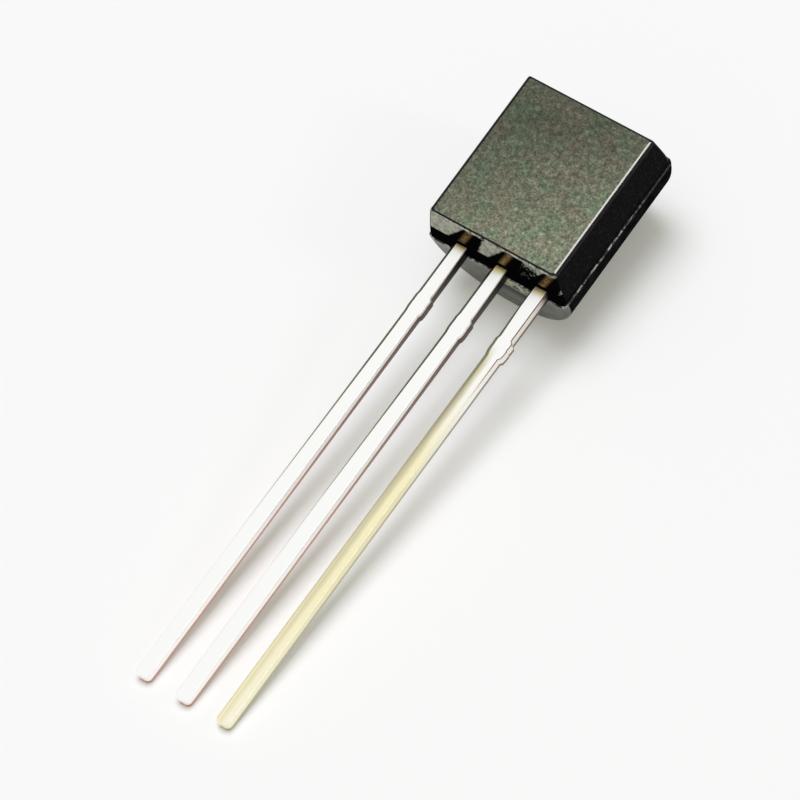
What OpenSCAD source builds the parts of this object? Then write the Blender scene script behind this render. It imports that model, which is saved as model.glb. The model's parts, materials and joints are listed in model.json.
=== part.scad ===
// Three-lead plastic transistor with a flat front and a half-round back, lying flat side up.
// It rests on the lead end of its round back and on the tips of its leads.
// Every piece is built standing: x across the flat, y into the case from the flat, z up the case,
// with the origin at the middle of the flat's lower edge. laid_down() then turns it into the row frame.

/* [Case] */

// Width of the case across the parting line
case_w = 4.36; // [4.2:0.01:4.7]
// Height of the case at the parting line
case_h = 4.93; // [4.7:0.01:5.2]
// Depth of the parting line behind the flat
part_y = 1.24; // [1.1:0.01:1.4]
// Radius of the flat's two side edges
side_edge_r = 0.11; // [0.08:0.01:0.14]
// Radius of the flat's top and bottom edges
end_edge_r = 0.06; // [0.05:0.01:0.13]
// Draft of the front half's two side walls, in degrees
side_draft = 8.5; // [7:0.5:12]
// Draft of the front half's two ends, in degrees
end_draft = 9.5; // [7:0.5:12]
// Step from the front half out to the back half at the parting line
mould_step = 0.02; // [0.01:0.005:0.04]
// Draft of the back half's two ends, in degrees
back_draft = 5; // [2:0.5:8]

/* [Leads outside the case] */

// Width of each lead
lead_w = 0.42; // [0.36:0.01:0.5]
// Thickness of each lead
lead_t = 0.36; // [0.3:0.01:0.42]
// Distance from lead to lead
lead_pitch = 1.27; // [1.2:0.01:1.3]
// Sideways offset of the lead row from the middle of the case
lead_shift = 0.12; // [-0.15:0.01:0.15]
// Distance from the flat's lower edge to the cut tips
lead_len = 14.1; // [10:0.05:15]
// Distance from the flat's lower edge to the cut tie bar stubs
tie_z = 1.75; // [1.4:0.01:2.2]
// Height of the tie bar stubs along the lead
tie_h = 0.6; // [0.4:0.01:0.8]
// How far a stub stands out on the left side
tie_left = 0.04; // [0.02:0.01:0.12]
// How far a stub stands out on the right side
tie_right = 0.09; // [0.02:0.01:0.12]

/* [Lead frame inside the case] */

// Width of the locking barbs
barb_w = 0.8; // [0.6:0.01:0.95]
// Height of the locking barbs
barb_h = 0.3; // [0.2:0.01:0.4]
// Height of the barbs above the flat's lower edge
barb_z = 0.3; // [0.2:0.01:0.4]
// Width of the two bonding posts
post_w = 0.74; // [0.6:0.01:0.8]
// Lower edge of the middle lead's bonding post
base_post_z = 0.9; // [0.8:0.01:1.0]
// Height of the middle lead's bonding post
base_post_h = 0.62; // [0.5:0.01:0.7]
// Lower edge of the left lead's bonding post
emitter_post_z = 1.85; // [1.6:0.01:2.0]
// Height of the left lead's bonding post
emitter_post_h = 0.9; // [0.7:0.01:1.0]
// Width of the die pad, from the right lead's outer edge
pad_w = 2.1; // [1.9:0.01:2.2]
// Height of the die pad
pad_h = 1.7; // [1.5:0.01:1.9]
// Lower edge of the die pad
pad_z = 2.0; // [1.8:0.01:2.1]

/* [Die and bonds] */

// Side of the square die
die_w = 0.7; // [0.4:0.01:0.8]
// Thickness of the die
die_t = 0.2; // [0.15:0.01:0.25]
// Side of the layer that holds the die on its pad
attach_w = 0.8; // [0.75:0.01:0.9]
// Thickness of the layer that holds the die
attach_t = 0.03; // [0.02:0.005:0.05]
// Distance of both bonds from the middle of the die, each way
bond_off = 0.17; // [0.1:0.01:0.22]
// Diameter of the bond wires
wire_d = 0.05; // [0.025:0.001:0.05]
// Rise of each wire's arc above its chord
wire_rise = 0.22; // [0.15:0.01:0.3]
// Diameter of the bond at each wire end
bond_d = 0.12; // [0.07:0.005:0.12]
// Height of the bond at each wire end
bond_h = 0.03; // [0.02:0.005:0.04]

/* [Hidden] */

$fn = 96;

// Angle at which the rounded edges meet the flat and the walls, in degrees
edge_kink = 6;

// Case
back_r = case_w / 2;
case_d = part_y + back_r;
side_x = back_r - mould_step;
end_z = case_h / 2 - mould_step;
flat_h = 2 * (end_z - part_y * tan(end_draft));
end_drop = (case_h - flat_h) / 2;
back_low = -end_drop;
back_high = flat_h + end_drop;
back_inset = back_r * tan(back_draft);
cut_len = 2 * case_h;

// Lead frame
face_y = part_y - lead_t;
emitter_x = lead_shift - lead_pitch;
base_x = lead_shift;
collector_x = lead_shift + lead_pitch;
pad_x = collector_x + lead_w / 2 - pad_w / 2;

// Die and bonds
die_x = pad_x;
die_z = pad_z + pad_h / 2;
die_top = die_t + attach_t;
bond_x = die_x - bond_off;
sink = bond_h;

// Lying pose: the back's lead end and the tips are both on the floor
floor_z = back_low + back_inset;
tilt = atan((case_d - part_y) / (lead_len + floor_z));
lift = case_d * cos(tilt) - floor_z * sin(tilt);
tips_y = face_y * sin(tilt) - lead_len * cos(tilt);
top_y = case_d * sin(tilt) + (back_high - back_inset) * cos(tilt);

module laid_down() {
    translate([0, -(tips_y + top_y) / 2, lift])
        rotate([tilt - 90, 0, 0])
            children();
}

// One side of an outline with a sharp corner: a flat front and a straight drafted wall
module sharp_side(reach, draft) {
    polygon([[0, 0], [reach - part_y * tan(draft), 0], [reach, part_y], [0, part_y]]);
}

// The same with its corner rounded: the corner is cut off along a chord, and a round fills it again
module round_side(reach, draft, r) {
    deep = r * cos(edge_kink);
    reach_in = deep * (1 - sin(draft)) / cos(draft);
    corner = [reach - part_y * tan(draft), 0];
    on_flat = corner - [reach_in, 0];
    on_wall = corner + reach_in * [sin(draft), cos(draft)];
    union() {
        difference() {
            sharp_side(reach, draft);
            polygon([2 * on_flat - on_wall, 2 * on_wall - on_flat, corner + [2 * r, -2 * r]]);
        }
        intersection() {
            sharp_side(reach, draft);
            translate(on_flat + [0, deep])
                circle(r);
        }
    }
}

// The same on both sides of the middle
module front_outline(reach, draft, r) {
    union() {
        round_side(reach, draft, r);
        mirror([1, 0])
            round_side(reach, draft, r);
    }
}

// Front half of the case: the plan outline meets the end outline, so all four edges are rounded
module front_half() {
    intersection() {
        translate([0, 0, flat_h / 2 - cut_len / 2])
            linear_extrude(cut_len)
                front_outline(side_x, side_draft, side_edge_r);
        translate([0, 0, flat_h / 2])
            rotate([0, 90, 0])
                translate([0, 0, -cut_len / 2])
                    linear_extrude(cut_len)
                        front_outline(end_z, end_draft, end_edge_r);
    }
}

// Back half of the case: half a cylinder with drafted ends
module back_half() {
    intersection() {
        translate([0, part_y, flat_h / 2 - cut_len / 2])
            difference() {
                cylinder(h = cut_len, r = back_r);
                translate([-case_w, -2 * case_w, -1])
                    cube([2 * case_w, 2 * case_w, cut_len + 2]);
            }
        translate([-case_w, 0, 0])
            rotate([90, 0, 90])
                linear_extrude(2 * case_w)
                    polygon([
                        [part_y, back_low],
                        [case_d, back_low + back_inset],
                        [case_d, back_high - back_inset],
                        [part_y, back_high]
                    ]);
    }
}

// A straight piece of lead frame, centred on x, from one height to another
module strip(x, w, low, high) {
    translate([x - w / 2, face_y, low])
        cube([w, lead_t, high - low]);
}

// A lead from its cut tip up to its end in the case, with its cut tie bar stubs and its barb
module lead(x, high) {
    strip(x, lead_w, -lead_len, high);
    strip(x + (tie_right - tie_left) / 2, lead_w + tie_left + tie_right, -tie_z - tie_h, -tie_z);
    strip(x, barb_w, barb_z, barb_z + barb_h);
}

// A wire's arc, its two bonds and its sunk ends; it starts on the die at [x, z] and ends on a post
module arc_wire(x, z, post_x, post_z) {
    len = norm([post_x - x, post_z - z]);
    chord = norm([len, die_top]);
    arc_r = (chord * chord / 4 + wire_rise * wire_rise) / (2 * wire_rise);
    up = atan2(len, die_top);
    half = asin(chord / 2 / arc_r) + sink / arc_r * 180 / PI;
    translate([x, face_y, z])
        rotate([180, atan2(z - post_z, post_x - x), 0])
            union() {
                translate([
                    len / 2 - (arc_r - wire_rise) * cos(up),
                    die_top / 2 - (arc_r - wire_rise) * sin(up),
                    0
                ])
                    rotate([0, 0, up - half])
                        rotate_extrude(angle = 2 * half)
                            translate([arc_r, 0])
                                circle(d = wire_d);
                translate([0, die_top, 0])
                    rotate([-90, 0, 0])
                        cylinder(h = bond_h, d = bond_d);
                translate([len, 0, 0])
                    rotate([-90, 0, 0])
                        cylinder(h = bond_h, d = bond_d);
            }
}

module emitter_frame() {
    union() {
        lead(emitter_x, emitter_post_z);
        strip(emitter_x, post_w, emitter_post_z, emitter_post_z + emitter_post_h);
    }
}

module base_frame() {
    union() {
        lead(base_x, base_post_z);
        strip(base_x, post_w, base_post_z, base_post_z + base_post_h);
    }
}

module collector_frame() {
    union() {
        lead(collector_x, pad_z);
        strip(pad_x, pad_w, pad_z, pad_z + pad_h);
    }
}

module attach_layer() {
    translate([die_x - attach_w / 2, face_y - attach_t, die_z - attach_w / 2])
        cube([attach_w, attach_t, attach_w]);
}

module die_block() {
    translate([die_x - die_w / 2, face_y - die_top, die_z - die_w / 2])
        cube([die_w, die_t, die_w]);
}

module emitter_bond() {
    difference() {
        arc_wire(bond_x, die_z + bond_off, emitter_x, emitter_post_z + emitter_post_h / 2);
        die_block();
        emitter_frame();
    }
}

module base_bond() {
    difference() {
        arc_wire(bond_x, die_z - bond_off, base_x, base_post_z + base_post_h / 2);
        die_block();
        base_frame();
    }
}

// The moulded case fills every gap around the pieces inside it
module moulding() {
    difference() {
        union() {
            front_half();
            back_half();
        }
        emitter_frame();
        base_frame();
        collector_frame();
        attach_layer();
        die_block();
        emitter_bond();
        base_bond();
    }
}

module case() {
    color([0.13, 0.135, 0.13])
        laid_down()
            moulding();
}

module emitter_lead() {
    color([0.8, 0.8, 0.78])
        laid_down()
            emitter_frame();
}

module base_lead() {
    color([0.8, 0.8, 0.78])
        laid_down()
            base_frame();
}

module collector_lead() {
    color([0.82, 0.78, 0.66])
        laid_down()
            collector_frame();
}

module die() {
    color([0.3, 0.31, 0.35])
        laid_down()
            die_block();
}

module die_attach() {
    color([0.72, 0.72, 0.7])
        laid_down()
            attach_layer();
}

module emitter_wire() {
    color([0.9, 0.72, 0.3])
        laid_down()
            emitter_bond();
}

module base_wire() {
    color([0.9, 0.72, 0.3])
        laid_down()
            base_bond();
}

case();
emitter_lead();
base_lead();
collector_lead();
die();
die_attach();
emitter_wire();
base_wire();
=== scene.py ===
"""A small plastic transistor lying on a pale floor: its case, its three leads and what the case holds.

Every shape is worked out in the standing frame of the case: x across the flat, y into the case from the flat
and z up the case, with the origin at the middle of the flat's lower edge. Frame.place() lays it down.
"""

import json
import math
from typing import NamedTuple

import bmesh
import bpy
import numpy as np
from bpy.props import FloatProperty, FloatVectorProperty, PointerProperty
from mathutils import Euler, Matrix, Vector


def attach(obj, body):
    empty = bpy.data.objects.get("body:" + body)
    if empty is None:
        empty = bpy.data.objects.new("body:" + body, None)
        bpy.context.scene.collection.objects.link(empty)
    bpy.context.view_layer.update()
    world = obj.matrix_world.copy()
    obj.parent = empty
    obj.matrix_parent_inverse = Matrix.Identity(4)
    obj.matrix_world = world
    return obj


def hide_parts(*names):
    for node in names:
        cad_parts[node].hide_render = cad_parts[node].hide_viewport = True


bl_info = {
    "name": "Flat-fronted transistor",
    "version": (1, 0, 0),
    "blender": (4, 5, 0),
    "location": "View3D > Sidebar > Transistor",
    "description": "Builds a moulded three-lead transistor around its packed solids",
    "category": "Add Mesh",
}

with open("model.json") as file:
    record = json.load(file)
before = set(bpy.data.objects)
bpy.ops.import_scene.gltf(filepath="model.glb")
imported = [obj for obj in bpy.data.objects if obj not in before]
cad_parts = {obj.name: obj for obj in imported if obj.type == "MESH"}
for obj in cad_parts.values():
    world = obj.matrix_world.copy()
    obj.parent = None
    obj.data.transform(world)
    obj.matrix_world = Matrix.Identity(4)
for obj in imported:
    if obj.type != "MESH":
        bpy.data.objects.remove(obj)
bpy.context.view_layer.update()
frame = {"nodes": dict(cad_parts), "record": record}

MM = 0.001
ACROSS = np.array([1.0, 0, 0])
BODY = "root"


# The lying pose ---------------------------------------------------------------------------------


class Frame:
    """Takes points from the standing frame, in millimetres, to the row frame, in metres."""

    def __init__(self, record, flat_h):
        flat = next(m for m in record["mounts"] if m["name"] == "flat")
        tilt = math.atan2(-flat["axis"][1], flat["axis"][2])
        self.into = np.array([0, math.sin(tilt), -math.cos(tilt)])
        self.up = np.array([0, math.cos(tilt), math.sin(tilt)])
        self.origin = np.array(flat["pos_m"]) - self.up * flat_h / 2 * MM

    def place(self, points):
        """Origin plus x across, y into the case and z up the case, each along its own direction."""
        x, y, z = (points[..., i, None] * MM for i in range(3))
        return self.origin + x * ACROSS + y * self.into + z * self.up


def flat_height(case):
    """Height of the flat between its sharp corners, in millimetres: what the step and the end draft leave."""
    return (case.height - 2 * case.step - 2 * case.part_depth * math.tan(case.end_draft)) / MM


# Sizes and colours ------------------------------------------------------------------------------


def length(name, description, value):
    return FloatProperty(name=name, description=description, default=value * MM, unit="LENGTH", precision=6)


def angle(name, description, value):
    return FloatProperty(name=name, description=description, default=math.radians(value), unit="ROTATION")


def share(name, description, value):
    return FloatProperty(name=name, description=description, default=value, subtype="FACTOR")


def colour(name, description, value):
    return FloatVectorProperty(name=name, description=description, default=value, subtype="COLOR", size=3)


class CaseSizes(bpy.types.PropertyGroup):
    """Sizes and colours of the moulded case."""

    width: length("Width", "Width of the case across the parting line", 4.36)
    height: length("Height", "Height of the case at the parting line", 4.93)
    part_depth: length("Parting depth", "Depth of the parting line behind the flat", 1.24)
    side_round: length("Side rounding", "Radius of the flat's two side edges", 0.09)
    end_round: length("End rounding", "Radius of the flat's top and bottom edges", 0.05)
    corner_front: length("Front corner", "Corner radius at the flat", 0.06)
    corner_part: length("Parting corner", "Corner radius at the parting line", 0.17)
    step: length("Mould step", "Step from the front half out to the back half", 0.02)
    flash: length("Flash", "Height of the flash along the parting line", 0.009)
    flash_depth: length("Flash depth", "Half depth of the flash", 0.012)
    rim: length("Rim", "How far the rim of the flat is drawn in", 0.012)
    # The bright share of the right rounding is a painted highlight, and the flecks past the plain share are
    # painted glints.
    bright_share: share("Bright share", "Share of the right rounding that is rubbed bright", 0.35)
    flecked_share: share("Flecked share", "Share of the end rounding that stays plain before the flecks", 0.4)
    # The band is painted shade: black and without gloss, for the shadow that the lead end mirrors at its
    # foot.
    band_from: length("Band", "Depth at which the dull band across the lead end starts", 0.74)
    side_draft: angle("Side draft", "Draft of the front half's side walls", 8.5)
    end_draft: angle("End draft", "Draft of the front half's two ends", 9.5)
    back_draft: angle("Back draft", "Draft of the back half's two ends", 5)
    flat_cool: colour("Flat, cool", "Greener patches of the matt flat", (0.288, 0.352, 0.222))
    flat_warm: colour("Flat, warm", "Browner patches of the matt flat", (0.364, 0.350, 0.236))
    # The lead end's pale tones are a painted reflection of the lit floor, over the real gloss.
    end_dark: colour("Lead end, dark", "Darker patches of the lead end", (0.188, 0.200, 0.128))
    end_light: colour("Lead end, light", "Lighter patches of the lead end", (0.525, 0.530, 0.345))
    # painted reflection: the brown where the leads come out stands for the leads mirrored in the lead end
    painted_lead_reflection: colour("Stain", "Brown stain where the leads come out", (0.42, 0.27, 0.10))
    # The back's lead end is paler than the back as a painted reflection of the floor.
    back_end_reflection: colour("Back, lead end", "Lead end of the half-round back", (0.080, 0.086, 0.058))
    wall: colour("Walls", "Polished side walls", (0.003, 0.003, 0.003))
    back: colour("Back", "Half-round back", (0.014, 0.015, 0.014))
    # Light colour of the painted highlight and the painted glints.
    painted_glint: colour("Rubbed edge", "Edges rubbed lighter", (0.62, 0.61, 0.52))


class LeadSizes(bpy.types.PropertyGroup):
    """Sizes and colours of the three leads."""

    width: length("Width", "Width of a lead", 0.42)
    thick: length("Thickness", "Thickness of a lead", 0.36)
    pitch: length("Pitch", "Distance from lead to lead", 1.27)
    shift: length("Shift", "Offset of the middle lead from the middle of the case", 0.12)
    reach: length("Reach", "Distance from the flat's lower edge to the tips", 14.1)
    edge_round: length("Edge rounding", "Radius of a lead's long edges", 0.02)
    tip_round: length("Tip rounding", "Radius of the tips' corners, seen from the front", 0.14)
    lean_top: length("Lean at the case", "Sideways lean of the leads where they leave the case", 0.062)
    lean_tip: length("Lean at the tips", "Sideways lean of the leads at their tips", -0.005)
    lean_fade: length("Lean fade", "Height inside the case over which the lean fades out", 0.28)
    # The dark share rises from the tips to the case: at the tips it is the torn zone's own copper, and near
    # the case it is painted shade.
    shear_top: share("Shear at the case", "Dark share of a sheared side where the leads leave the case", 0.95)
    shear_tip: share("Shear at the tips", "Dark share of a sheared side at the tips", 0.34)
    zone_gap: length("Zone gap", "Least depth of the bright zone behind the rounded front edge", 0.01)
    stub_start: length("Stub start", "Distance from the flat's lower edge to the cut stubs", 1.75)
    stub_height: length("Stub height", "Height of the cut stubs", 0.6)
    stub_left: length("Left stub", "How far a stub stands out on the left", 0.04)
    stub_right: length("Right stub", "How far a stub stands out on the right", 0.09)
    barb_start: length("Barb start", "Height of the locking barbs above the flat's lower edge", 0.3)
    barb_height: length("Barb height", "Height of the locking barbs", 0.3)
    barb_width: length("Barb width", "Width of the locking barbs", 0.8)
    post_width: length("Post width", "Width of the two bonding posts", 0.74)
    base_post_start: length("Base post start", "Lower edge of the middle lead's bonding post", 0.9)
    base_post_height: length("Base post height", "Height of the middle lead's bonding post", 0.62)
    emitter_post_start: length("Emitter post start", "Lower edge of the left lead's bonding post", 1.85)
    emitter_post_height: length("Emitter post height", "Height of the left lead's bonding post", 0.9)
    pad_start: length("Pad start", "Lower edge of the die pad", 2.0)
    pad_height: length("Pad height", "Height of the die pad", 1.7)
    pad_width: length("Pad width", "Width of the die pad, from the right lead's outer edge", 2.1)
    tin: colour("Tin", "Bright tin of the left and middle leads", (0.95, 0.95, 0.93))
    warm_tin: colour("Warm tin", "Yellower tin of the right lead", (0.93, 0.86, 0.56))
    # painted shade: the sides and roots darken to this near the case
    tin_in_shade: colour("Dull tin", "Duller tin of the sides and of the roots", (0.78, 0.74, 0.66))
    root: colour("Root", "Yellow tarnish where a lead enters the case", (0.80, 0.66, 0.32))
    # painted dark reflection along the rolled left edge near the case
    olive: colour("Rolled edge", "Dark tone of the rolled left edge near the case", (0.12, 0.12, 0.07))
    sheared: colour("Sheared side", "Copper showing at the sheared sides", (0.20, 0.11, 0.085))


class StageSizes(bpy.types.PropertyGroup):
    """Camera, lamps and floor."""

    camera_place: FloatVectorProperty(
        name="Camera", description="Place of the camera", default=(0.06766455, -0.06548268, 0.13779213),
        subtype="TRANSLATION", unit="LENGTH", precision=6,
    )
    camera_turn: FloatVectorProperty(
        name="Camera turn", description="Euler angles of the camera",
        default=tuple(math.radians(a) for a in (34.188869, 6.269047, 36.728844)), subtype="EULER",
    )
    lens: FloatProperty(name="Lens", description="Focal length on a 36 mm sensor", default=294.967)
    lamp_distance: length("Lamp distance", "Distance of the lamps", 300)
    floor_size: length("Floor size", "Side of the square floor", 1200)
    floor: colour("Floor", "Pale floor", (0.92, 0.92, 0.912))
    floor_glow: colour("Floor glow", "Even light that a share of the floor shows", (1, 1, 0.87))
    glow: share("Glow", "Share of the floor that shows as even light", 0.25)
    sky: FloatProperty(name="Sky", description="Strength of the even light from all round", default=0.19)


class Lamp(NamedTuple):
    """A round soft lamp: where it stands, its size in metres, its power in watts and its tint.

    in_gloss says whether shiny surfaces mirror it.
    """

    direction: tuple
    size: float
    power: float
    tint: tuple
    in_gloss: bool


LAMPS = {
    "key": Lamp((-0.080, 0.067, 0.995), 0.17, 0.605, (0.85, 0.85, 1), False),
    "fill": Lamp((0, 0, 1), 0.30, 0.29, (1, 1, 0.84), False),
    "rim": Lamp((0.79, 0.18, 0.59), 0.05, 0.05, (1, 1, 1), True),
}


# Meshes -----------------------------------------------------------------------------------------


def add_object(name, data):
    """An object at the origin, unturned and unscaled, in the scene's own collection."""
    holder = bpy.data.objects.new(name, data)
    bpy.context.scene.collection.objects.link(holder)
    return holder


def skin(rings, first_cap):
    """Faces of a tube through rings of equal count: quads from ring to ring, and a flat face over an end."""
    count, size = rings.shape[:2]
    here = np.arange(count - 1)[:, None] * size + np.arange(size)
    beside = np.arange(count - 1)[:, None] * size + (np.arange(size) + 1) % size
    quads = np.stack([here, beside, beside + size, here + size], -1).reshape(-1, 4).tolist()
    if first_cap:
        quads.append(list(range(size))[::-1])
    quads.append(list(range((count - 1) * size, count * size)))
    return quads


SHARP_ANGLE = math.radians(50)


def add_piece(name, rings, slots, materials, standing, first_cap=True):
    """A closed mesh through the rings, merged where points meet, with its faces outward.

    Without a first cap the first ring is folded flat and closes the end itself, and corners are shaded sharp.
    """
    mesh = bpy.data.meshes.new(name)
    points = standing.place(rings).reshape(-1, 3)
    mesh.from_pydata(points.tolist(), [], skin(rings, first_cap))
    mesh.polygons.foreach_set("material_index", np.asarray(slots, np.int32))
    mesh.polygons.foreach_set("use_smooth", np.ones(len(mesh.polygons), bool))
    for material in materials:
        mesh.materials.append(material)
    shape = bmesh.new()
    shape.from_mesh(mesh)
    bmesh.ops.remove_doubles(shape, verts=shape.verts, dist=1e-8)
    bmesh.ops.dissolve_degenerate(shape, edges=shape.edges, dist=1e-8)
    bmesh.ops.recalc_face_normals(shape, faces=shape.faces)
    shape.to_mesh(mesh)
    shape.free()
    if not first_cap:
        mesh.set_sharp_from_angle(angle=SHARP_ANGLE)
    return add_object(name, mesh)


# Materials --------------------------------------------------------------------------------------


class Nodes:
    """A short way to write a node tree."""

    def __init__(self, name):
        self.material = bpy.data.materials.new(name)
        self.material.use_nodes = True
        self.tree = self.material.node_tree
        self.shader = self.tree.nodes["Principled BSDF"]
        self.place = self.add("ShaderNodeTexCoord").outputs["Object"]

    def add(self, kind, **settings):
        node = self.tree.nodes.new(kind)
        for key, value in settings.items():
            setattr(node, key, value)
        return node

    def link(self, source, target):
        self.tree.links.new(source, target)

    def noise(self, *marks, detail, rough=0.6):
        """Noise from 0 to 1 with so many marks per millimetre, all round or along x, y and z."""
        spread = self.add("ShaderNodeMapping")
        marks = marks if len(marks) == 3 else marks * 3
        spread.inputs["Scale"].default_value = [mark / MM for mark in marks]
        self.link(self.place, spread.inputs["Vector"])
        node = self.add("ShaderNodeTexNoise")
        node.inputs["Scale"].default_value = 1
        node.inputs["Detail"].default_value = detail
        node.inputs["Roughness"].default_value = rough
        self.link(spread.outputs["Vector"], node.inputs["Vector"])
        return node.outputs["Fac"]

    def ramp(self, factor, *stops):
        """Colours at places from 0 to 1 along the factor."""
        node = self.add("ShaderNodeValToRGB")
        ramp = node.color_ramp
        ramp.elements[0].position, ramp.elements[0].color = stops[0][0], (*stops[0][1], 1)
        ramp.elements[1].position, ramp.elements[1].color = stops[-1][0], (*stops[-1][1], 1)
        for position, value in stops[1:-1]:
            ramp.elements.new(position).color = (*value, 1)
        self.link(factor, node.inputs["Fac"])
        return node.outputs["Color"]

    def blend(self, factor, one, other, kind="MIX"):
        """One colour going over into the other; factor, one and other are sockets or plain values."""
        node = self.add("ShaderNodeMix", data_type="RGBA", blend_type=kind)
        for socket, value in zip((node.inputs[0], node.inputs[6], node.inputs[7]), (factor, one, other)):
            if isinstance(value, bpy.types.NodeSocket):
                self.link(value, socket)
            else:
                socket.default_value = value
        return node.outputs[2]

    def measure(self, origin, direction):
        """Distance from origin along a direction, times the direction's own length."""
        away = self.add("ShaderNodeVectorMath", operation="SUBTRACT")
        away.inputs[1].default_value = origin
        self.link(self.place, away.inputs[0])
        along = self.add("ShaderNodeVectorMath", operation="DOT_PRODUCT")
        along.inputs[1].default_value = direction
        self.link(away.outputs["Vector"], along.inputs[0])
        return along.outputs["Value"]

    def sum(self, value, factor, other):
        """value times factor plus other, where other is a socket or a plain number."""
        node = self.add("ShaderNodeMath", operation="MULTIPLY_ADD")
        self.link(value, node.inputs[0])
        node.inputs[1].default_value = factor
        if isinstance(other, bpy.types.NodeSocket):
            self.link(other, node.inputs[2])
        else:
            node.inputs[2].default_value = other
        return node.outputs["Value"]

    def rows(self, value):
        """Distance from the nearest whole number: 0 at it and 0.5 halfway between two."""
        node = self.add("ShaderNodeMath", operation="PINGPONG")
        node.inputs[1].default_value = 0.5
        self.link(value, node.inputs[0])
        return node.outputs["Value"]

    def both(self, one, other):
        """The product of two masks."""
        return self.blend(1.0, one, other, "MULTIPLY")

    def bump(self, height, strength, distance):
        node = self.add("ShaderNodeBump")
        node.inputs["Strength"].default_value = strength
        node.inputs["Distance"].default_value = distance
        self.link(height, node.inputs["Height"])
        self.link(node.outputs["Normal"], self.shader.inputs["Normal"])

    def roughness(self, factor, low, high):
        node = self.add("ShaderNodeMapRange")
        node.inputs["To Min"].default_value = low
        node.inputs["To Max"].default_value = high
        self.link(factor, node.inputs["Value"])
        self.link(node.outputs["Result"], self.shader.inputs["Roughness"])

    def fixed(self, **values):
        """Sets the shader's sockets, such as metallic or specular_ior_level, to plain values."""
        for key, value in values.items():
            self.shader.inputs[key.replace("_", " ").title().replace("Ior", "IOR")].default_value = value


GRAIN = 26  # marks per millimetre of the moulding's fine grain


def grey(value):
    return (value, value, value)


def scaled(value, factor):
    """A colour times a factor."""
    return tuple(v * factor for v in value)


def moulded(name, dark, light, rough, gloss, mottle=4.0, depth=0.002, spread=(0.36, 0.64)):
    """Moulded epoxy: patches of two tones, mottle of them per millimetre, under a fine grain."""
    n = Nodes(name)
    if tuple(dark) == tuple(light):
        n.fixed(base_color=(*dark, 1))
    else:
        patches = n.noise(mottle, detail=6, rough=0.7)
        n.link(n.ramp(patches, (spread[0], dark), (spread[1], light)), n.shader.inputs["Base Color"])
    fine = n.noise(GRAIN, detail=3)
    n.bump(fine, 0.35, depth * MM)
    n.roughness(fine, rough - 0.06, rough + 0.06)
    n.fixed(specular_ior_level=gloss)
    return n.material


def flat_epoxy(s, standing):
    """The matt flat: fine patches from green to brown and from dark to light, under a painted sheen that
    makes it paler towards the lead end and towards the right.
    """
    n = Nodes("flat")
    tone = n.noise(7, detail=6, rough=0.78)
    hue = n.noise(1.7, detail=4, rough=0.65)
    cool, warm = (
        n.ramp(tone, (0.36, scaled(side, 0.50)), (0.5, scaled(side, 0.92)), (0.64, scaled(side, 1.6)))
        for side in (s.flat_cool, s.flat_warm)
    )
    patches = n.blend(n.ramp(hue, (0.40, grey(0)), (0.60, grey(1))), cool, warm)
    # painted sheen: the flat's colour is made paler towards its lower edge and its right side, where the
    # lamps' sheen falls
    paler_right = ACROSS * 0.15 / MM
    height = n.measure(standing.origin, standing.up / (flat_height(s) * MM) - paler_right)
    painted_sheen = n.ramp(n.sum(hue, 0.3, height), (0.15, grey(0.84)), (0.55, grey(0.61)), (1.0, grey(0.36)))
    specks = n.ramp(n.noise(17, detail=2), (0.32, grey(0.42)), (0.68, grey(1)))
    n.link(n.both(n.both(patches, specks), painted_sheen), n.shader.inputs["Base Color"])
    fine = n.noise(GRAIN, detail=3)
    n.bump(fine, 0.6, 0.006 * MM)
    n.roughness(fine, 0.55, 0.68)
    n.fixed(specular_ior_level=0.25)
    return n.material


def beside_leads(n, leads, standing, root, slope=0):
    """Distance across from the middle lead's root in pitches, along lines that slope sideways with depth.

    At the root's depth it is -1 at the left lead, 0 at the middle one and 1 at the right one.
    """
    return n.measure(root, (ACROSS + slope * standing.into) / leads.pitch)


def middle_root(leads, standing, depth):
    """Where the middle lead leaves the case, at a depth behind the flat."""
    return standing.origin + ACROSS * (leads.shift + leads.lean_top) + standing.into * depth


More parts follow.
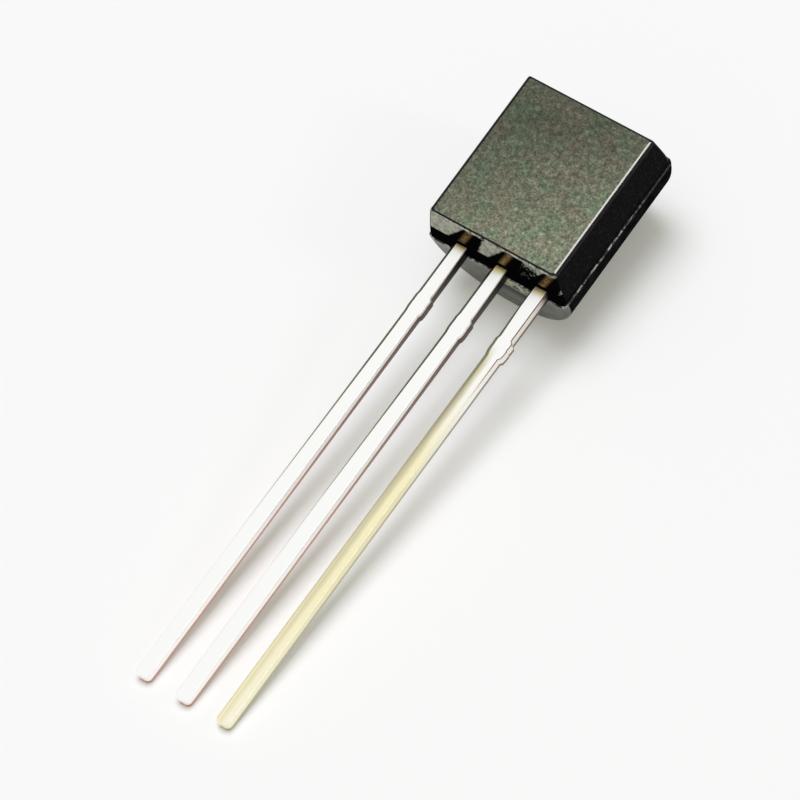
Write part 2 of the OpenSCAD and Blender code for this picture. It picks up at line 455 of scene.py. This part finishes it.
def lead_end_epoxy(s, leads, standing):
    """The glossy lead end: pale and grainy as a painted reflection of the lit floor, with a brown painted
    reflection of each lead and a black painted dark reflection beside it.

    Both marks repeat from lead to lead and slope sideways from the band to the flat's edge. Between the
    middle and right leads the end is black, as painted shade for the shadowed floor that it mirrors, but for
    a strip below the flat and some specks.
    """
    n = Nodes("lead_end")
    tone = n.noise(9, detail=5, rough=0.7)
    # painted reflection: the pale tones stand for the lit floor mirrored in the lead end
    pale = n.ramp(tone, (0.38, s.end_dark), (0.62, s.end_light))
    root = middle_root(leads, standing, s.band_from)
    wobble = n.sum(tone, 0.10, -0.05)
    below = n.measure(root, standing.into / MM)

    def mark(slope, middle, half, widen, soft):
        """Mask of a mark beside each lead, with its middle, half width and soft edge in millimetres.

        widen is how much its half width changes for each millimetre of depth.
        """
        beside = beside_leads(n, leads, standing, root + ACROSS * middle * MM, slope)
        near = n.sum(n.rows(beside), leads.pitch / MM, n.sum(below, -widen, wobble))
        has_lead = n.ramp(n.sum(beside, 1, 2), (0.5, grey(0)), (0.505, grey(1)))  # there's none further left
        return n.both(has_lead, n.ramp(near, (half, grey(1)), (half + soft, grey(0))))

    # painted dark reflection of the leads' shaded sides, beside each lead
    black = mark(slope=0.587, middle=0.10, half=0.46, widen=0.263, soft=0.06)
    # painted reflection of each lead in the lead end, in brown
    brown = mark(slope=0.53, middle=0.04, half=0.02, widen=0.0, soft=0.12)
    beside = beside_leads(n, leads, standing, root)
    # painted shade between the middle and right leads, for the shadowed floor mirrored there
    gap = n.ramp(beside, (0.04, grey(0)), (0.06, grey(1)), (0.94, grey(1)), (0.96, grey(0)))
    deep = n.measure(standing.origin, standing.into / MM)
    low = n.ramp(n.sum(tone, 0.9, deep), (0.56, grey(0)), (0.68, grey(1)))
    specks = n.ramp(n.noise(14, detail=3), (0.56, grey(1)), (0.66, grey(0.6)))
    shade = n.both(gap, n.both(low, specks))
    dark = n.blend(shade, n.blend(black, pale, (*s.wall, 1)), (*s.wall, 1))
    lead_reflection_tone = n.ramp(tone, (0.34, s.wall), (0.50, scaled(s.painted_lead_reflection, 0.6)), (0.66, s.painted_lead_reflection))
    n.link(n.blend(brown, dark, lead_reflection_tone), n.shader.inputs["Base Color"])
    dulled = n.blend(1.0, black, shade, "LIGHTEN")
    n.link(n.blend(dulled, (*grey(0.7), 1), (*grey(0), 1)), n.shader.inputs["Specular IOR Level"])
    fine = n.noise(GRAIN, detail=3)
    n.bump(fine, 0.35, 0.001 * MM)
    n.roughness(fine, 0.12, 0.24)
    return n.material


def back_end_epoxy(s, leads, standing):
    """The back half's lead end, with a painted reflection of the floor: paler near the parting line and plain
    further back.

    Between the middle and right leads it is flecked near the parting line, then dark as painted shade for the
    shadowed floor it mirrors, and fades to plain.
    """
    n = Nodes("back_lead_end")
    tone = n.noise(8, detail=5, rough=0.7)
    slow = n.noise(2, detail=3)
    deep = n.sum(tone, 0.3, n.measure(standing.origin + standing.into * s.part_depth, standing.into / MM))
    pale = n.ramp(tone, (0.36, s.back_end_reflection), (0.64, scaled(s.back_end_reflection, 3)))
    lower = n.ramp(slow, (0.36, s.back), (0.60, s.back_end_reflection))
    plain = n.blend(n.ramp(deep, (0.24, grey(0)), (0.40, grey(1))), pale, lower)
    beside = beside_leads(n, leads, standing, middle_root(leads, standing, s.part_depth), slope=0.6)
    # painted shade between the middle and right leads, for the shadowed floor mirrored there
    gap = n.ramp(n.sum(tone, 0.1, beside), (0.15, grey(0)), (0.2, grey(1)), (0.94, grey(1)), (0.98, grey(0)))
    gap = n.both(gap, n.ramp(n.sum(deep, 0.5, 0), (0.48, grey(1)), (0.70, grey(0))))
    flecks = n.ramp(tone, (0.42, s.wall), (0.47, scaled(s.back_end_reflection, 2)), (0.53, s.end_light))
    flecked = n.blend(n.ramp(deep, (0.70, grey(0)), (0.80, grey(1))), flecks, (*s.wall, 1))
    n.link(n.blend(gap, plain, flecked), n.shader.inputs["Base Color"])
    n.link(n.blend(gap, (*grey(0.28), 1), (*grey(0.05), 1)), n.shader.inputs["Specular IOR Level"])
    n.bump(tone, 0.2, 0.002 * MM)
    n.fixed(roughness=0.3)
    return n.material


def flash_epoxy(s, standing):
    """The thin flash along the parting line, with painted glints in short dashes, which fade out towards the
    top.
    """
    n = Nodes("flash")
    dashes = n.ramp(n.noise(9, detail=6, rough=0.7), (0.47, grey(0)), (0.60, grey(1)))
    height = n.measure(standing.origin, standing.up / (flat_height(s) * MM))
    light = n.ramp(height, (0.55, s.painted_glint), (0.80, scaled(s.painted_glint, 0.1)))
    n.link(n.blend(dashes, (*s.wall, 1), light), n.shader.inputs["Base Color"])
    n.fixed(roughness=0.35, specular_ior_level=0.3)
    return n.material


def plain_metal(name, tone, shade, rough):
    """Smooth metal or silicon with faint cloudy patches and fine lines."""
    n = Nodes(name)
    clouds = n.noise(1.6, 0.5, 1.6, detail=5)
    n.link(n.ramp(clouds, (0.35, shade), (0.6, tone)), n.shader.inputs["Base Color"])
    lines = n.noise(30, 0.8, 30, detail=3)
    n.bump(lines, 0.25, 0.004 * MM)
    n.roughness(lines, rough - 0.08, rough + 0.1)
    n.fixed(metallic=1)
    return n.material


# The case ---------------------------------------------------------------------------------------


BOTTOM, SIDE, TOP = range(3)  # sides of the section


def section_weights(edge_steps, arc_steps):
    """A rounded rectangle from its bottom middle round to the right: four weights, a sign and a side a point.

    With half width a, half height b and corner radius c, x = sign ((a - c) P + c Q) and z = b R + c T.
    """
    along = np.concatenate([[0], np.linspace(0.02, 0.98, edge_steps), [1]])
    bend = np.linspace(-math.pi / 2, 0, arc_steps + 1)[1:-1]
    zero, one = np.zeros_like, np.ones_like
    bottom = [along, zero(along), -one(along), zero(along)]
    low = [one(bend), np.cos(bend), -one(bend), 1 + np.sin(bend)]
    side = [one(along), one(along), 2 * along - 1, 1 - 2 * along]
    high = [one(bend), np.cos(bend[::-1]), one(bend), -1 - np.sin(bend[::-1])]
    top = [1 - along, zero(along), one(along), zero(along)]
    half = np.concatenate([bottom, low, side, high, top], 1)
    kind = np.repeat([BOTTOM, SIDE, TOP], [along.size + bend.size, along.size, bend.size + along.size])
    right, left = half, half[:, -2:0:-1]
    sign = np.concatenate([np.ones(right.shape[1]), -np.ones(left.shape[1])])
    return np.concatenate([right, left], 1), sign, np.concatenate([kind, kind[-2:0:-1]])


def rounded_reach(depth, reach_at_corner, draft, radius):
    """Half width of the front half at a depth: an arc that leaves the flat level and meets the drafted wall.

    The arc's middle lies one radius deep; past it the half width grows with the tangent of the draft.
    """
    run = radius * (1 - math.sin(draft)) / math.cos(draft)
    arc = reach_at_corner - run + np.sqrt(np.clip(radius**2 - (radius - depth) ** 2, 0, None))
    wall = reach_at_corner + depth * math.tan(draft)
    return np.where(depth < radius * (1 - math.sin(draft)), arc, wall)


FLAT, EDGE, LEAD_END, WALL, TOP_END, FLASH, BACK, BAND, BRIGHT, FLECKED, BACK_END = range(11)


def case_rings(s):
    """Rings around the case, from the flat to the middle of the half-round back, and a slot for each face.

    Front: rounded rectangles whose half sides follow the drafted walls. Crest: the flash, whose height is a
    sum of two sines round the case. Back: the same half section turned about the middle of the parting plane,
    so x = r cos(a) and y = parting depth + r sin(a).
    """
    weights, sign, kind = section_weights(7, 7)
    p, q, r, t = weights
    side_r, end_r, part = s.side_round / MM, s.end_round / MM, s.part_depth / MM
    half_w, half_h = s.width / 2 / MM, s.height / 2 / MM
    step, flash, corner = s.step / MM, s.flash / MM, s.corner_part / MM
    flash_depth, rim = s.flash_depth / MM, s.rim / MM
    side_corner = half_w - step - part * math.tan(s.side_draft)
    end_corner = half_h - step - part * math.tan(s.end_draft)

    bend = np.linspace(0, math.pi / 2, 9)
    shallow = np.linspace(side_r + 0.05, s.band_from / MM, 6)
    far = np.linspace(s.band_from / MM + 0.03, part - 0.03, 4)
    depth = np.concatenate([[0], side_r * (1 - np.cos(bend)), shallow, far])
    inset = np.zeros_like(depth)
    inset[0] = rim
    a = rounded_reach(depth, side_corner, s.side_draft, side_r) - inset
    b = rounded_reach(depth, end_corner, s.end_draft, end_r) - inset
    c = s.corner_front / MM + (corner - s.corner_front / MM) * (depth / part) ** 3
    x = sign * ((a - c)[:, None] * p + c[:, None] * q)
    z = b[:, None] * r + c[:, None] * t
    front = np.stack([x, np.repeat(depth[:, None], x.shape[1], 1), z], -1)

    around = np.arange(p.size)
    ragged = 0.5 + 0.3 * np.sin(around * 2.9) + 0.2 * np.sin(around * 1.3 + 1)
    crest_x = sign * ((half_w + flash * ragged - corner) * p + corner * q)
    crest_z = (half_h + flash * ragged) * r + corner * t
    crest = [
        np.stack([crest_x, np.full(p.size, deep), crest_z], -1)
        for deep in (part - flash_depth, part + flash_depth)
    ]

    past_the_crest = 0.014  # radians
    turn = np.linspace(past_the_crest, math.pi / 2, 44)[:, None]
    rho = (half_w - corner) * p + corner * q
    height = half_h * r + corner * t
    back = np.stack([
        sign * rho * np.cos(turn),
        part + rho * np.sin(turn),
        height - r * rho * np.sin(turn) * math.tan(s.back_draft),
    ], -1)

    rings = np.concatenate([front, np.array(crest), back])
    rings[..., 2] += half_h - step - part * math.tan(s.end_draft)
    return rings, case_slots(s, sign, kind, q, (bend.size, shallow.size, far.size, len(crest), len(turn)))


def case_slots(s, sign, kind, q, counts):
    """A slot for each face, by its stretch of depth and its side of the case; the two end faces come last.

    counts holds how many bands of faces each stretch has.
    """
    rounded, shallow, far, crest, back = counts
    round_the_corner = q > 0.4  # further out than this share of the corner's radius
    lead_end = np.choose(kind, [LEAD_END, WALL, TOP_END])
    lead_end[(sign < 0) & (kind == BOTTOM) & round_the_corner] = WALL
    stretches = [
        (rounded, np.full(kind.size, EDGE)),
        (shallow, lead_end),
        # painted shade: past band_from the lead end turns black and glossless
        (far, np.choose(kind, [BAND, WALL, TOP_END])),
        (crest, np.where(kind == TOP, WALL, FLASH)),
        # painted glints along the back half's step at the lead end
        (1, np.where(kind == BOTTOM, FLECKED, BACK)),
        (back - 1, np.where(kind == BOTTOM, BACK_END, BACK)),
    ]
    slots = np.concatenate([np.tile(row, (count, 1)) for count, row in stretches])
    # painted highlight along part of the right rounding, and painted glints on the lower rounding past the
    # plain share
    for i, edge in enumerate(slots[:rounded]):
        done = i / (rounded - 1)
        if done <= s.bright_share:
            edge[(kind == SIDE) & (sign > 0)] = BRIGHT
        if done > s.flecked_share:
            edge[kind == BOTTOM] = FLECKED
    return [*slots.ravel(), FLAT, BACK]


class TRANSISTOR_OT_case(bpy.types.Operator):
    """Build the moulded case"""

    bl_idname = "transistor.case"
    bl_label = "Case"

    def execute(self, context):
        s, leads = context.scene.transistor_case, context.scene.transistor_leads
        standing = Frame(frame["record"], flat_height(s))
        rings, slots = case_rings(s)
        wall_patches = scaled(s.back, 1.5)
        # spread of the painted glints
        flecks = (0.38, 0.54)
        materials = [
            flat_epoxy(s, standing),
            moulded("sharp_edge", s.wall, s.back, 0.35, gloss=0.1, depth=0.004),
            lead_end_epoxy(s, leads, standing),
            moulded("side_wall", s.wall, wall_patches, 0.4, gloss=0.01, mottle=12, spread=(0.52, 0.70)),
            moulded("top_end", s.wall, s.back, 0.4, gloss=0.02),
            flash_epoxy(s, standing),
            moulded("back", s.wall, s.back, 0.5, gloss=0),
            moulded("shade_band", s.wall, s.wall, 0.5, gloss=0),
            moulded("painted_highlight_edge", s.painted_glint, s.painted_glint, 0.3, gloss=1, depth=0.001),
            moulded("painted_glint_edge", s.wall, s.painted_glint, 0.35, gloss=0.3, mottle=9, depth=0.004, spread=flecks),
            back_end_epoxy(s, leads, standing),
        ]
        piece = add_piece("moulded_case", rings, slots, materials, standing)
        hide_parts("case")
        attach(piece, BODY)
        return {"FINISHED"}


# The leads --------------------------------------------------------------------------------------


FACE, ROLLED, DARK_SIDE, PALE_SIDE, RIGHT_EDGE = range(5)
SPLIT = -1.0  # stands for the depth of the line between the two zones, which changes along the lead

# A section's points run from its right front corner to the right split, the right rear corner, the left rear
# corner, the left split and the left front corner, with as many points round each corner.
CORNER_POINTS = 5
LEFT_REAR = slice(2 * CORNER_POINTS + 1, 3 * CORNER_POINTS + 1)
LEFT_FRONT = slice(3 * CORNER_POINTS + 2, 4 * CORNER_POINTS + 2)


class Lead(NamedTuple):
    """What sets one lead apart from the others; heights and radii are in millimetres.

    row counts pitches from the middle lead, stub scales how far its cut stub stands out, and tint starts the
    names of its tones. The rolled edge's radius goes over from the first to the second between two heights.
    torn is the dark share of its sides at the case. inner lists the widened stretches in the case, each as
    (low, high, left, right).
    """

    row: int
    stub: float
    tint: str
    radii: tuple
    between: tuple
    torn: float
    inner: list


def three_leads(s):
    """The leads from left to right, by the node that each stands for."""
    half = s.width / 2 / MM

    def stretch(start, height, left, right):
        return start / MM, (start + height) / MM, left, right

    def both_sides(start, height, width):
        return stretch(start, height, width / 2 / MM, width / 2 / MM)

    barb = both_sides(s.barb_start, s.barb_height, s.barb_width)
    emitter_post = both_sides(s.emitter_post_start, s.emitter_post_height, s.post_width)
    base_post = both_sides(s.base_post_start, s.base_post_height, s.post_width)
    pad = stretch(s.pad_start, s.pad_height, s.pad_width / MM - half, half)
    return {
        "emitter_lead": Lead(-1, 0.5, "", (0.03, 0.095), (-9.0, -3.5), s.shear_top, [barb, emitter_post]),
        "base_lead": Lead(0, 0.55, "", (0.03, 0.095), (-8.0, -2.5), s.shear_top, [barb, base_post]),
        "collector_lead": Lead(1, 0.85, "warm_", (0.13, 0.055), (-2.4, -0.8), s.shear_tip, [barb, pad]),
    }


def lead_stations(s, lead):
    """Heights, left and right reach and tip rounding of a lead's rings, from its tip to its end in the case.

    Near the tip both sides draw in along quarter circles. The cut stub grows out along a quarter sine, runs
    on ragged by a product of two waves, and draws in again. Its right side also has two round knots.
    """
    half, reach, tip = s.width / 2 / MM, s.reach / MM, s.tip_round / MM
    low, high = -(s.stub_start + s.stub_height) / MM, -s.stub_start / MM
    bend = np.linspace(0, math.pi / 2, 8)
    ends = [(-reach + tip * (1 - math.cos(b)), half, half, tip * (1 - math.sin(b))) for b in bend]
    lower = [(z, half, half, 0) for z in np.linspace(-reach + 0.3, low - 0.1, 30)]
    along = np.linspace(0, 1, 19)
    growth = 0.22  # share of the stub's height
    grow = np.sin(np.minimum(1, np.minimum(along, 1 - along) / growth) * math.pi / 2)
    ragged = 0.86 + 0.14 * np.sin(along * 9) * np.sin(along * 23 + 1)
    knots = np.exp(-(((along - 0.1) / 0.06) ** 2)) + 0.6 * np.exp(-(((along - 0.93) / 0.05) ** 2))
    left = half + lead.stub * s.stub_left / MM * grow * ragged
    right = half + lead.stub * s.stub_right / MM * grow * (ragged + 0.3 * knots)
    middle = list(zip(low + along * (high - low), left, right, np.zeros(along.size)))
    upper = [(z, half, half, 0) for z in np.linspace(high + 0.06, 0.2, 10)]
    rows = ends + lower + middle + upper
    for low, high, left, right in lead.inner:
        rows += [(low, half, half, 0), (low, left, right, 0), (high, left, right, 0), (high, half, half, 0)]
    return np.array(rows)


def lead_section(s):
    """Corner signs, offsets and slots of a lead's section.

    Each side has a bright burnished zone behind the front edge and a dark torn one, which goes on over the
    back. The left front edge is rolled over: its points are for a radius of one. The other corners are small
    quarter circles, and the right front one has a slot of its own.
    """
    small = s.edge_round / MM
    thick = s.thick / MM
    quarter = np.linspace(0, math.pi / 2, CORNER_POINTS)

    def corner(side, deep, radius, start):
        return [(side, radius * (math.cos(a) - side), deep + radius * math.sin(a)) for a in start + quarter]

    right_front = corner(1, small, small, -math.pi / 2)
    right_rear = corner(1, thick - small, small, 0)
    left_rear = corner(-1, thick - small, small, math.pi / 2)
    left_front = corner(-1, 1, 1, math.pi)
    points = right_front + [(1, 0, SPLIT)] + right_rear + left_rear + [(-1, 0, SPLIT)] + left_front
    bend = CORNER_POINTS - 1
    zones = [RIGHT_EDGE, PALE_SIDE, DARK_SIDE, PALE_SIDE, ROLLED, FACE]
    return np.array(points), np.repeat(zones, [bend, 1, 2 * bend + 3, 1, bend, 1])


def lead_rings(s, lead, x, face_y):
    """The section carried up the lead, leaning sideways in proportion to its height, with a slot a face.

    The first ring folds flat onto the line between the two zones, which closes the cut tip.
    """
    rows = lead_stations(s, lead)
    section, slots = lead_section(s)
    z, left, right, drawn = rows.T[:, :, None]
    side, across, deep = section.T
    lean = (s.lean_top + (s.lean_top - s.lean_tip) * np.minimum(z, 0) * MM / s.reach) / MM
    lean = lean * np.clip(1 - z * MM / s.lean_fade, 0, 1)
    roll = np.interp(z, lead.between, lead.radii)
    is_rolled = np.zeros(side.size, bool)
    is_rolled[LEFT_FRONT] = True
    across, deep = np.where(is_rolled, across * roll, across), np.where(is_rolled, deep * roll, deep)
    dark = s.shear_tip + (lead.torn - s.shear_tip) * np.clip(1 + z * MM / s.reach, 0, 1) ** 3
    below_corner = np.where(side > 0, s.edge_round / MM, roll) + s.zone_gap / MM
    split = np.maximum((1 - dark) * s.thick / MM, below_corner)
    ring_x = x + lean + np.where(side > 0, right - drawn, drawn - left) + across
    ring_y = face_y + np.where(deep == SPLIT, split, deep)
    rings = np.stack([ring_x, ring_y, np.broadcast_to(z, ring_x.shape)], -1)
    tip = rings[:1].copy()
    tip[..., 1] = face_y + (1 - s.shear_tip) * s.thick / MM
    tip[0, LEFT_FRONT, 0] = tip[0, LEFT_REAR, 0][::-1]
    tip_slots = np.where(slots == DARK_SIDE, DARK_SIDE, PALE_SIDE)
    return np.concatenate([tip, rings]), [*tip_slots, *np.tile(slots, len(rows) - 1), DARK_SIDE]


def lead_tones(s):
    """Tones of the leads' zones, as stops from 0 at the tips to 1 at the case.

    Most tones darken towards the case as painted shade, and the rolled left edge turns olive as a painted
    dark reflection. The last entry is the tone along the left edge of the warm lead's face, darker there as
    the same painted dark reflection.
    """
    tin, warm, in_shade, root, sheared, olive = (
        np.array(tone) for tone in (s.tin, s.warm_tin, s.tin_in_shade, s.root, s.sheared, s.olive)
    )
    cream = tin * 0.4 + warm * 0.6
    end = [(0.982, tin), (0.994, root), (1.0, root * 0.5)]
    return {
        "tin": [(0.0, tin), *end],
        "rolled_edge": [
            (0.0, tin), (0.30, tin * 0.9),
            (0.52, olive * 2.6), (0.72, olive), (0.93, olive * 0.8), (1.0, olive * 0.1),
        ],
        "torn_zone": [
            (0.0, sheared * 3.0), (0.4, sheared * 2.8), (0.55, sheared * 2.0),
            (0.75, sheared), (0.93, sheared * 0.2), (1.0, sheared * 0.03),
        ],
        "burnished_zone": [(0.0, tin), (0.8, tin), (0.95, in_shade), (1.0, in_shade * 0.5)],
        "warm_rolled_edge": [
            (0.0, warm), (0.15, warm * 0.95), (0.35, warm * 0.80), (0.55, warm * 0.60), (0.75, warm * 0.42),
            (0.84, olive * 2), (1.0, olive * 0.1),
        ],
        "warm_torn_zone": [
            (0.0, warm * 0.6), (0.5, warm * 0.55), (0.75, warm * 0.36),
            (0.88, sheared * 1.2), (1.0, sheared * 0.3),
        ],
        "warm_edge": [
            (0.0, cream), (0.5, warm * 0.9), (0.75, warm * 0.8),
            (0.82, sheared * 1.3), (0.9, sheared * 0.5), (1.0, sheared * 0.3),
        ],
        "warm_burnished_zone": [
            (0.0, cream), (0.35, warm * 0.9), (0.55, warm * 0.9),
            (0.75, tin), (0.95, in_shade), (1.0, in_shade * 0.5),
        ],
        "warm_tin": [
            (0.0, cream), (0.3, warm), (0.6, warm), (0.76, tin * 0.8 + warm * 0.2), (0.84, tin), *end,
        ],
        "warm_tin_left": [
            (0.0, warm * 0.92), (0.35, warm * 0.74), (0.55, warm * 0.68),
            (0.76, warm * 0.60), (0.82, warm * 0.7), (0.87, tin), *end,
        ],
    }


def lead_metal(name, standing, s, stops, left_stops=None):
    """Tin plate whose tone runs along the lead, from 0 at the tips to 1 at the case, with fine drawn lines.

    With left_stops, for the right lead, it has that tone along its left edge and goes over to stops.
    """
    n = Nodes(name)
    tips = standing.origin - standing.up * s.reach
    clouds = n.noise(1.6, 0.8, 1.6, detail=5)
    place = n.sum(clouds, 0.02, n.measure(tips, standing.up / s.reach))
    tone = n.ramp(place, *stops)
    if left_stops:
        middle = standing.origin + ACROSS * (s.shift + s.pitch + s.lean_top)
        lean = (s.lean_top - s.lean_tip) / s.reach
        beside = n.measure(middle, (ACROSS - lean * standing.up) / s.width)
        near_left = n.ramp(n.sum(clouds, 0.25, n.sum(beside, 1, 0.375)), (0.40, grey(1)), (0.68, grey(0)))
        tone = n.blend(near_left, tone, n.ramp(place, *left_stops))
    n.link(tone, n.shader.inputs["Base Color"])
    n.bump(n.noise(30, 0.8, 30, detail=3), 0.2, 0.003 * MM)
    n.roughness(clouds, 0.22, 0.40)
    n.fixed(metallic=1)
    return n.material


class TRANSISTOR_OT_leads(bpy.types.Operator):
    """Build the three leads with their lead frame inside the case"""

    bl_idname = "transistor.leads"
    bl_label = "Leads"

    def execute(self, context):
        case, s = context.scene.transistor_case, context.scene.transistor_leads
        standing = Frame(frame["record"], flat_height(case))
        tones = lead_tones(s)
        left = {"warm_tin": tones.pop("warm_tin_left")}
        metal = {name: lead_metal(name, standing, s, stops, left.get(name)) for name, stops in tones.items()}
        face_y = (case.part_depth - s.thick) / MM
        for node, lead in three_leads(s).items():
            rings, slots = lead_rings(s, lead, (s.shift + lead.row * s.pitch) / MM, face_y)
            zones = [lead.tint + zone for zone in ("tin", "rolled_edge", "torn_zone", "burnished_zone")]
            zones.append("warm_edge" if lead.tint else "burnished_zone")
            materials = [metal[zone] for zone in zones]
            name = node.replace("_lead", "_leg")
            piece = add_piece(name, rings, slots, materials, standing, first_cap=False)
            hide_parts(node)
            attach(piece, BODY)
        return {"FINISHED"}


# Inside the case --------------------------------------------------------------------------------


class TRANSISTOR_OT_inside(bpy.types.Operator):
    """Finish the die, its layer of solder and the two bond wires"""

    bl_idname = "transistor.inside"
    bl_label = "Inside the case"

    def execute(self, context):
        finishes = {
            "die": plain_metal("silicon", (0.30, 0.31, 0.36), (0.20, 0.21, 0.26), 0.2),
            "die_attach": plain_metal("solder", (0.70, 0.70, 0.68), (0.55, 0.55, 0.54), 0.45),
            "emitter_wire": plain_metal("gold", (0.95, 0.74, 0.32), (0.80, 0.58, 0.22), 0.25),
        }
        finishes["base_wire"] = finishes["emitter_wire"]
        for node, material in finishes.items():
            slots = frame["nodes"][node].data.materials
            slots.clear()
            slots.append(material)
        return {"FINISHED"}


# The stage --------------------------------------------------------------------------------------


def seen_ray(tree):
    """1 for the rays that the camera, a mirror or a glass sends out, and 0 for those that gather light."""
    path = tree.nodes.new("ShaderNodeLightPath")
    total = path.outputs["Is Camera Ray"]
    for kind in ("Is Glossy Ray", "Is Transmission Ray"):
        larger = tree.nodes.new("ShaderNodeMath")
        larger.operation = "MAXIMUM"
        tree.links.new(total, larger.inputs[0])
        tree.links.new(path.outputs[kind], larger.inputs[1])
        total = larger.outputs["Value"]
    return total


def add_lamp(name, lamp, distance):
    """A round soft lamp that looks at the origin from a distance."""
    light = bpy.data.lights.new(name, "AREA")
    light.shape, light.size, light.energy, light.color = "DISK", lamp.size, lamp.power, lamp.tint
    holder = add_object(name, light)
    holder.visible_glossy = lamp.in_gloss
    away = Vector(lamp.direction).normalized()
    holder.location = away * distance
    holder.rotation_euler = away.to_track_quat("Z", "Y").to_euler()


def floor_material(s):
    """Pale and matt, with a share that seen rays find as even light."""
    n = Nodes("pale_floor")
    clouds = n.noise(0.02, detail=2)
    n.link(n.ramp(clouds, (0.3, scaled(s.floor, 0.99)), (0.7, s.floor)), n.shader.inputs["Base Color"])
    n.fixed(roughness=0.8, specular_ior_level=0.1)
    glow = n.add("ShaderNodeEmission")
    glow.inputs["Color"].default_value = (*s.floor_glow, 1)
    mix = n.add("ShaderNodeMixShader")
    n.link(n.sum(seen_ray(n.tree), s.glow, 0.0), mix.inputs["Fac"])
    n.link(n.shader.outputs["BSDF"], mix.inputs[1])
    n.link(glow.outputs["Emission"], mix.inputs[2])
    n.link(mix.outputs["Shader"], n.tree.nodes["Material Output"].inputs["Surface"])
    return n.material


def add_floor(s):
    mesh = bpy.data.meshes.new("floor")
    corners = np.array([(-1, -1, 0), (1, -1, 0), (1, 1, 0), (-1, 1, 0)]) * s.floor_size / 2
    mesh.from_pydata(corners.tolist(), [], [(0, 1, 2, 3)])
    mesh.materials.append(floor_material(s))
    add_object("floor", mesh)


def add_sky(s):
    """White for seen rays, and dimmer for the light that the sky gives."""
    world = bpy.data.worlds.new("sky")
    world.use_nodes = True
    tree = world.node_tree
    strength = tree.nodes.new("ShaderNodeMapRange")
    strength.inputs["To Min"].default_value = s.sky
    strength.inputs["To Max"].default_value = 1
    tree.links.new(seen_ray(tree), strength.inputs["Value"])
    tree.links.new(strength.outputs["Result"], tree.nodes["Background"].inputs["Strength"])
    tree.nodes["Background"].inputs["Color"].default_value = (1, 1, 1, 1)
    bpy.context.scene.world = world


def add_camera(s):
    camera = bpy.data.cameras.new("camera")
    camera.lens, camera.sensor_width, camera.sensor_fit = s.lens, 36, "HORIZONTAL"
    camera.clip_start = 0.001
    holder = add_object("camera", camera)
    holder.location = s.camera_place
    holder.rotation_euler = Euler(s.camera_turn)
    bpy.context.scene.camera = holder


class TRANSISTOR_OT_stage(bpy.types.Operator):
    """Add the floor, the lamps, the sky and the camera"""

    bl_idname = "transistor.stage"
    bl_label = "Floor, lamps and camera"

    def execute(self, context):
        s = context.scene.transistor_stage
        add_floor(s)
        add_sky(s)
        for name, lamp in LAMPS.items():
            add_lamp(name, lamp, s.lamp_distance)
        add_camera(s)
        context.scene.view_settings.view_transform = "Standard"
        return {"FINISHED"}


# Panel and run ----------------------------------------------------------------------------------


class TRANSISTOR_PT_sidebar(bpy.types.Panel):
    """Lists the steps that build the transistor"""

    bl_idname = "TRANSISTOR_PT_sidebar"
    bl_label = "Transistor"
    bl_space_type = "VIEW_3D"
    bl_region_type = "UI"
    bl_category = "Transistor"

    def draw(self, context):
        for step in STEPS:
            self.layout.operator(step.bl_idname)


STEPS = (TRANSISTOR_OT_case, TRANSISTOR_OT_leads, TRANSISTOR_OT_inside, TRANSISTOR_OT_stage)
GROUPS = {"transistor_case": CaseSizes, "transistor_leads": LeadSizes, "transistor_stage": StageSizes}


def register():
    for group in GROUPS.values():
        bpy.utils.register_class(group)
    for name, group in GROUPS.items():
        setattr(bpy.types.Scene, name, PointerProperty(type=group))
    for step in (*STEPS, TRANSISTOR_PT_sidebar):
        bpy.utils.register_class(step)


def unregister():
    for step in (TRANSISTOR_PT_sidebar, *reversed(STEPS)):
        bpy.utils.unregister_class(step)
    for name, group in GROUPS.items():
        delattr(bpy.types.Scene, name)
        bpy.utils.unregister_class(group)


def main():
    register()
    bpy.ops.transistor.case()
    bpy.ops.transistor.leads()
    bpy.ops.transistor.inside()
    bpy.ops.transistor.stage()


if __name__ == "__main__":
    main()
